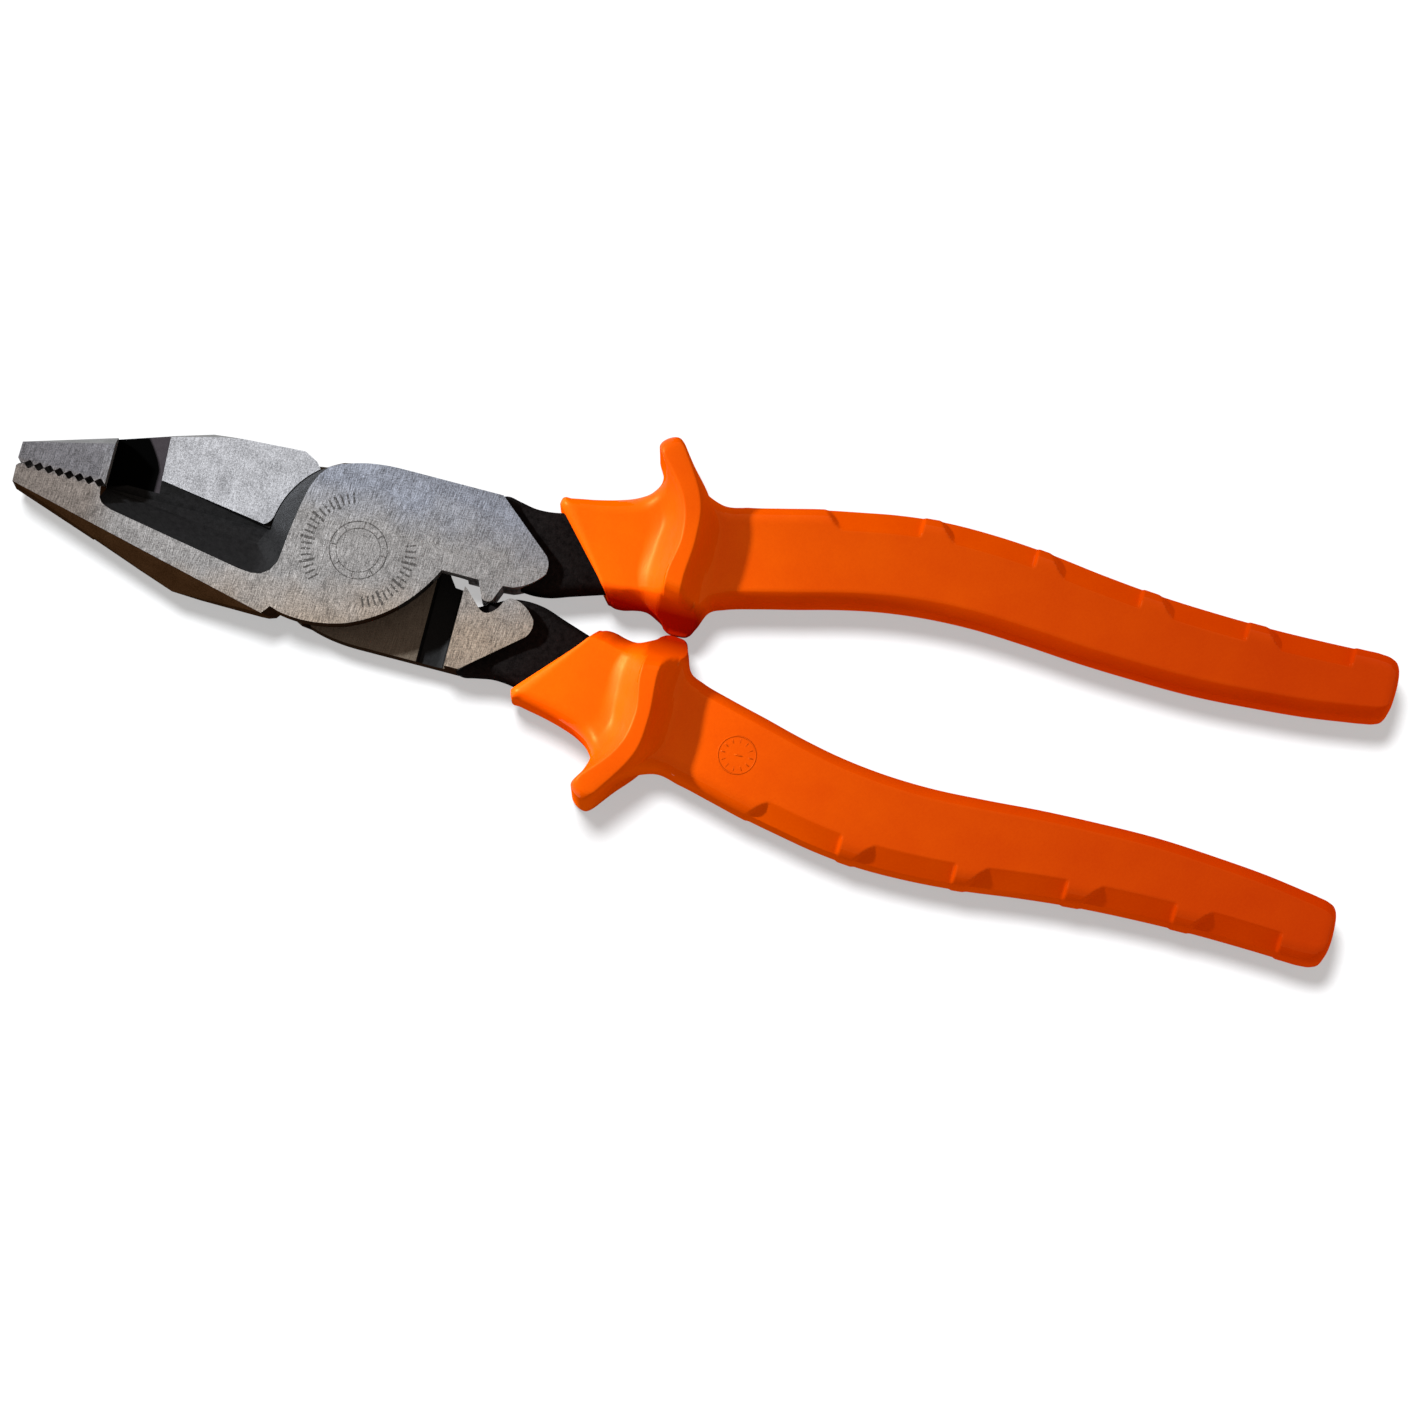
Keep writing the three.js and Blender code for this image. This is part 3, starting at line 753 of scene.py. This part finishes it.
def surface_of(polygon):
    """Which finish a face of the head has, from where it lies in the drawing."""
    c, n = polygon.center, polygon.normal
    if c.x > -8.0 and abs(c.z) < 0.2 and abs(n.z) > 0.9:  # the faces that slide on each other
        return MATING
    if abs(n.z) > 0.99 and abs(abs(c.z) - HEAD) < 0.02:
        return GROUND
    if n.z < -0.99 and abs(c.z + PLATE_DEPTH) < 0.02 and c.x < -8:
        return PLATE
    if n.z < -0.99 and abs(c.z + FLOOR_DEPTH) < 0.02 and c.x < -8:
        return STRIP
    if c.x < NOSE_END_X + 0.01 and abs(n.z) < 0.6:  # the nose: its teeth and tip are ground, its back isn't
        return GROUND if abs(n.y) > 0.5 and c.y > -2 or n.x < -0.5 else SIDE
    if c.x < -9 and c.y < -3.2 and n.y < -0.4 and n.x < 0.2:  # the jaw's back
        return SIDE
    if c.x > 14 and abs(n.z) < 0.5 and c.y < 6:  # the die
        return GROUND
    if c.x > -14.2 and abs(n.z) < 0.9 and c.y < -8:  # the joint's edge on the jaw's side
        return EDGE
    if c.x > -9 and abs(n.z) < 0.9 and c.y > 12:  # and on the tang's side
        return EDGE
    return POCKET


def forging(half):
    """The forging's head, finished face by face, and its black tang."""
    head = join(jaw(half), joint(half))
    bm = bmesh.new()
    bm.from_mesh(head.data)
    bmesh.ops.remove_doubles(bm, verts=bm.verts, dist=0.004)
    bmesh.ops.dissolve_limit(bm, angle_limit=math.radians(0.6), verts=bm.verts, edges=bm.edges)
    bm.to_mesh(head.data)
    bm.free()
    give_materials(head, HEAD_MATERIALS[half])
    for polygon in head.data.polygons:
        polygon.material_index = surface_of(polygon)
    bevel_edges(head, HEAD_BEVEL)
    cut(head, turned(rivet_profile(RIVET_GAP)))
    shade_smooth(head)
    weight_normals(head, 90)
    to_part_frame(head, half + "_forging_body", half)

    rear = tang()
    shade_smooth(rear)
    give_materials(rear, [BLACK_TANG])
    to_part_frame(rear, half + "_forging_tang", half)
    return head, rear


def rivet():
    body = bevel_edges(turned(rivet_profile(0.0)), RIVET_BEVEL)
    shade_smooth(body)
    weight_normals(body, 50)
    give_materials(body, [STEEL])
    to_part_frame(body, "rivet_body", "upper")
    return body


# ---------------------------------------------------------------- grips
# Rings across the front of the grip, each from the belly to the back of the handle. A ring is five
# places in plan (None is evenly between the ends), five heights above the mid-plane, the belly's edge
# (width, drop, and 0 for round to 1 for a straight slope) and the rounding at the back.
FRONT_RINGS = [
    ((44.0, 4.2), None, None, None, (32.3, 17.1), (8.0,) * 5, (1.8, 1.8, 0), 1.3),
    ((44.4, 3.3), None, None, None, (32.5, 18.0), (8.7,) * 5, (2.2, 2.6, 0.2), 1.7),
    ((45.3, 2.7), None, None, None, (34.2, 18.45), (9.0,) * 5, (2.5, 4.2, 0.4), 2.1),
    ((47.5, 2.4), None, None, None, (38.8, 19.4), (9.0,) * 5, (2.8, 5.4, 0.6), 2.6),
    ((49.4, 2.85), None, None, None, (42.2, 20.3), (9.0,) * 5, (2.8, 5.6, 0.6), 2.8),
    ((51.0, 3.1), (48.6, 7.8), (48.2, 12.6), (47.9, 17.4), (45.4, 21.5),
     (9.1, 9.0, 9.0, 9.0, 9.1), (2.9, 5.6, 0.6), 2.9),
    ((52.3, 3.0), (50.3, 8.1), (50.3, 13.3), (50.4, 18.5), (47.7, 23.0),
     (9.8, 9.6, 9.5, 9.4, 9.8), (3.1, 5.2, 0.6), 2.4),
    ((53.6, 2.4), (52.0, 8.3), (52.1, 14.2), (52.0, 19.8), (48.9, 25.2),
     (11.4, 11.1, 11.0, 10.9, 11.2), (3.6, 6.4, 0.8), 2.4),
    ((54.8, 1.6), (53.4, 8.4), (53.7, 15.4), (52.7, 21.8), (48.3, 27.9),
     (13.6, 13.6, 13.6, 13.4, 13.0), (4.3, 8.4, 1.0), 2.2),
    ((55.5, 0.7), (54.0, 8.6), (55.0, 16.5), (53.2, 23.3), (46.9, 30.9),
     (15, 15, 15, 15, 14.4), (4.6, 10.0, 1.0), 2.0),
    ((57.4, 0.06), (56.7, 8.5), (57.1, 16.3), (56.0, 23.6), (50.2, 33.0),
     (15, 15, 15, 15, 14.2), (4.6, 10.0, 1.0), 2.0),
    ((58.1, 0.1), (57.2, 8.5), (57.6, 16.4), (56.5, 23.8), (51.0, 32.4),
     (14.5, 14.5, 14.5, 14.5, 13.8), (4.5, 9.6, 1.0), 2.0),
    ((59.5, 0.3), (58.3, 8.5), (58.7, 16.6), (57.5, 24.0), (52.2, 30.6),
     (12.2, 12.0, 12.0, 12.0, 12.0), (3.9, 7.4, 0.9), 2.2),
    ((60.9, 2.8), (60.2, 9.0), (60.4, 15.4), (59.5, 21.2), (55.0, 26.4),
     (10.0, 9.8, 9.7, 9.8, 10.2), (2.9, 4.2, 0.5), 2.6),
    ((62.2, 5.9), (62.0, 10.6), (61.9, 15.2), (61.5, 19.8), (60.0, 24.1),
     (9.1, 9.05, 9.05, 9.05, 9.2), (2.2, 2.9, 0.3), 2.8),
    ((65.0, 7.35), None, None, None, (65.0, 24.9), (9.0,) * 5, (2.0, 2.9, 0.5), 3.0),
]
# Further back a ring is straight across: x, belly, back, half thickness.
BACK_ROWS = [
    (70.5, 8.9, 26.2, 9), (77, 10.5, 27.8, 9), (84, 12.3, 29.2, 9), (91, 13.75, 30.45, 9),
    (99, 14.75, 31.25, 9),
    (108, 15.1, 31.25, 9), (118, 14.65, 30.55, 9), (128, 13.95, 29.3, 9), (137, 13.6, 28.4, 9),
    (150, 13.5, 27.75, 9), (160, 14.1, 27.6, 9), (170, 15.0, 27.8, 9), (176, 15.85, 28.0, 9),
    (179.2, 16.35, 28.05, 9), (181.2, 16.8, 27.75, 9), (182.3, 17.4, 27.1, 8.9), (182.8, 18.2, 26.2, 8.6),
    (183.1, 19.2, 25.0, 8.0), (183.25, 20.4, 23.6, 7.0),
]
BACK_BELLY, BACK_SPINE = (1.9, 3.0, 0.6), 3.0
# Rings are close together over the guard and over the handle's end, counted as rows of the table.
GUARD_FIRST, GUARD_LAST, END_FIRST = 5, 14, -7
COLLAR_RINGS, GUARD_RINGS, HANDLE_RINGS, END_RINGS = 40, 84, 460, 40
EDGE_PLACES, FACE_PLACES, SIDE_PLACES = 12, 36, 9
QUARTERS = np.linspace(0, 1, 5)
TIP_START_Y, TIP_SLOPE = 0.2, 2.3  # the guard's inner tip slopes up from its edge on the mid-plane
TIP_LEAST, TIP_BLEND = 1.0, 0.8
PANELS = [(78.0, 95.2), (98.1, 116.0), (118.4, 135.7), (138.8, 155.2), (158.5, 174.4)]
PANEL_REACH, PANEL_INSET, PANEL_STEP, PANEL_FALL, PANEL_SLANT = 3.7, 0.25, 0.12, 0.62, 0.87
# The mouth of the collar: a small lip, then a socket that the tang fills, as shares of the first ring
# and depths into the grip.
COLLAR_MOUTH = [(0.70, 6.0), (0.72, -0.05), (0.80, -0.10), (0.95, -0.10), (0.985, -0.08)]
COLLAR_WAY = np.array([0.78, 0.62, 0.0])


def between(a, b, share):
    return tuple(a[k] + (b[k] - a[k]) * share for k in (0, 1))


def ring_table():
    """One row per ring: five places in plan, five heights, the belly's edge and the back's rounding."""
    rows = []
    for low, q1, mid, q3, high, heights, belly, spine in FRONT_RINGS:
        q1, mid, q3 = (given or between(low, high, share)
                       for given, share in zip((q1, mid, q3), QUARTERS[1:4]))
        rows.append([*low, *q1, *mid, *q3, *high, *heights, *belly, spine])
    for x, low, high, half in BACK_ROWS:
        places = []
        for share in QUARTERS:
            places += [x, low + (high - low) * share]
        rows.append([*places, *([half] * 5), *BACK_BELLY, min(BACK_SPINE, (high - low) * 0.3)])
    return np.array(rows, float)


def smooth_step(value, low, high):
    t = np.clip((value - low) / (high - low), 0, 1)
    return t * t * (3 - 2 * t)


def smooth_min(a, b, blend):
    """The lower of a and b, rounded over where they cross."""
    share = np.clip(0.5 + 0.5 * (b - a) / blend, 0, 1)
    return b + (a - b) * share - blend * share * (1 - share)


def lengths_along(points):
    """How far along the line through points each of them is."""
    return np.concatenate([[0], np.cumsum(np.linalg.norm(np.diff(points, axis=0), axis=1))])


def grip_rings():
    """Places over the whole outside of the grip, ring by ring from the collar's mouth to the end."""
    table = ring_table()
    knots = lengths_along((table[:, 4:6] + table[:, 8:10]) / 2)
    wanted = np.concatenate([
        np.linspace(0, knots[GUARD_FIRST], COLLAR_RINGS)[:-1],
        np.linspace(knots[GUARD_FIRST], knots[GUARD_LAST], GUARD_RINGS)[:-1],
        np.linspace(knots[GUARD_LAST], knots[END_FIRST], HANDLE_RINGS)[:-1],
        np.linspace(knots[END_FIRST], knots[-1], END_RINGS),
    ])
    heights_and_belly = range(10, 18)
    rows = hermite(knots, table, wanted, level=heights_and_belly)
    quarter_turn = np.linspace(0, math.pi / 2, EDGE_PLACES)
    even = np.linspace(0, 1, EDGE_PLACES)
    side = np.linspace(1, -1, SIDE_PLACES)[1:-1]
    rings = []
    for row in rows:
        belly, fall_away, straight, spine = row[15:]
        path = hermite(QUARTERS, np.column_stack([row[:10].reshape(5, 2), row[10:15]]),
                       np.linspace(0, 1, 81), level=(2,))
        run = lengths_along(path[:, :2])
        width = run[-1]
        rise = belly * ((1 - straight) * (1 - np.cos(quarter_turn)) + straight * even)
        fall = width - spine * (1 - np.cos(quarter_turn[::-1]))
        inner = rise[-1] + (fall[0] - rise[-1]) * np.linspace(0, 1, FACE_PLACES) ** 0.85
        across = np.concatenate([rise, inner[1:-1], fall])
        x, y, height = (np.interp(across, run, path[:, k]) for k in range(3))
        drop = np.zeros_like(across)
        drop[:EDGE_PLACES] = fall_away * ((1 - straight) * (1 - np.sin(quarter_turn))
                                          + straight * (1 - even))
        drop[-EDGE_PLACES:] = spine * (1 - np.sin(quarter_turn[::-1]))
        tip = np.maximum(TIP_SLOPE * (y - TIP_START_Y), TIP_LEAST)
        z = smooth_min(height - drop, tip, TIP_BLEND)
        over_x, over_y, over_z = recess(x, y, z, width - across, height)
        back = [(over_x[-1], over_y[-1], over_z[-1] * share) for share in side]
        front = [(over_x[0], over_y[0], over_z[0] * share) for share in side[::-1]]
        over = list(zip(over_x, over_y, over_z))
        under = [(a, b, -c) for a, b, c in over[::-1]]
        rings.append(over + back + under + front)
    return np.array(rings)


def recess(x, y, z, inside, height):
    """Cuts the five panels into the back edge: a small step down, then a slope to the handle's side.

    `inside` is how far in from the back edge a place is, in plan.
    """
    weight = np.zeros_like(x)
    for start, stop in PANELS:
        front = start + np.clip(inside, 0, PANEL_REACH) * PANEL_SLANT
        along = smooth_step(x, front - 0.3, front + 0.5) * (1 - smooth_step(x, stop - 0.3, stop + 0.3))
        within = 1 - smooth_step(inside, PANEL_REACH - 0.12, PANEL_REACH + 0.12)
        weight = np.maximum(weight, along * within)
    pushed = np.maximum(inside, PANEL_INSET)
    slope_z = height - PANEL_STEP - (PANEL_REACH - pushed) * PANEL_FALL
    return x, y - weight * (pushed - inside), z + weight * np.minimum(slope_z - z, 0)


def grip(half):
    rings = grip_rings()
    first = rings[0]
    centre = first.mean(axis=0)
    mouth = [centre + (first - centre) * share + COLLAR_WAY * depth for share, depth in COLLAR_MOUTH]
    obj = skin(np.concatenate([np.array(mouth), rings]))
    shade_smooth(obj)
    give_materials(obj, [ORANGE, ORANGE_SIDE_PAINTED_SHADE])
    to_part_frame(obj, half + "_grip_body", half)
    for polygon in obj.data.polygons:
        n = polygon.normal
        # Behind the guard, and on all but its front, every wall has the duller side material, whose colour is
        # a touch darker as painted shade.
        faces_rear = polygon.center.x > 75 * MM or n.x > -0.25
        polygon.material_index = int(abs(n.z) < (0.85 if faces_rear else 0.3))
    return obj


# ---------------------------------------------------------------- assembly
shown = []
bodies = {"upper": "upper_half", "lower": "lower_half"}
for half in ("upper", "lower"):
    head, rear = forging(half)
    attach(head, bodies[half])
    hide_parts(half + "_forging")
    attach(rear, bodies[half])
    covering = grip(half)
    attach(covering, bodies[half])
    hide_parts(half + "_grip")
    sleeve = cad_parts[half + "_sleeve"]
    give_materials(sleeve, [WHITE])
    shown += [head, rear, covering, sleeve]
pin = rivet()
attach(pin, "upper_half")
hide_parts("pivot_rivet")
shown.append(pin)

for obj in shown:
    object_lit.objects.link(obj)


# ---------------------------------------------------------------- floor
FLOOR_SIZE = 6.0
FLOOR_GAP = 0.0002  # the guards lie this far above the paper, in metres

bm = bmesh.new()
bmesh.ops.create_grid(bm, x_segments=8, y_segments=8, size=FLOOR_SIZE)
floor = object_from(bm, "floor")
floor.location = (0.06, 0, (LIFT - GUARD_HALF) * MM - FLOOR_GAP)
paper, tree, shader = new_material("paper")
tree.links.new(mix(tree, noise(tree, in_mm(tree), 0.4, 3), rgb(0.195, 0.20, 0.205), rgb(0.21, 0.215, 0.22)),
               shader.inputs["Base Color"])
shader.inputs["Roughness"].default_value = 0.9
shader.inputs["Specular IOR Level"].default_value = 0.0
shader.inputs["Emission Color"].default_value = rgb(1, 1, 1)
shader.inputs["Emission Strength"].default_value = 0.43
floor.data.materials.append(paper)
floor_lit.objects.link(floor)
floor.light_linking.receiver_collection = floor_lit
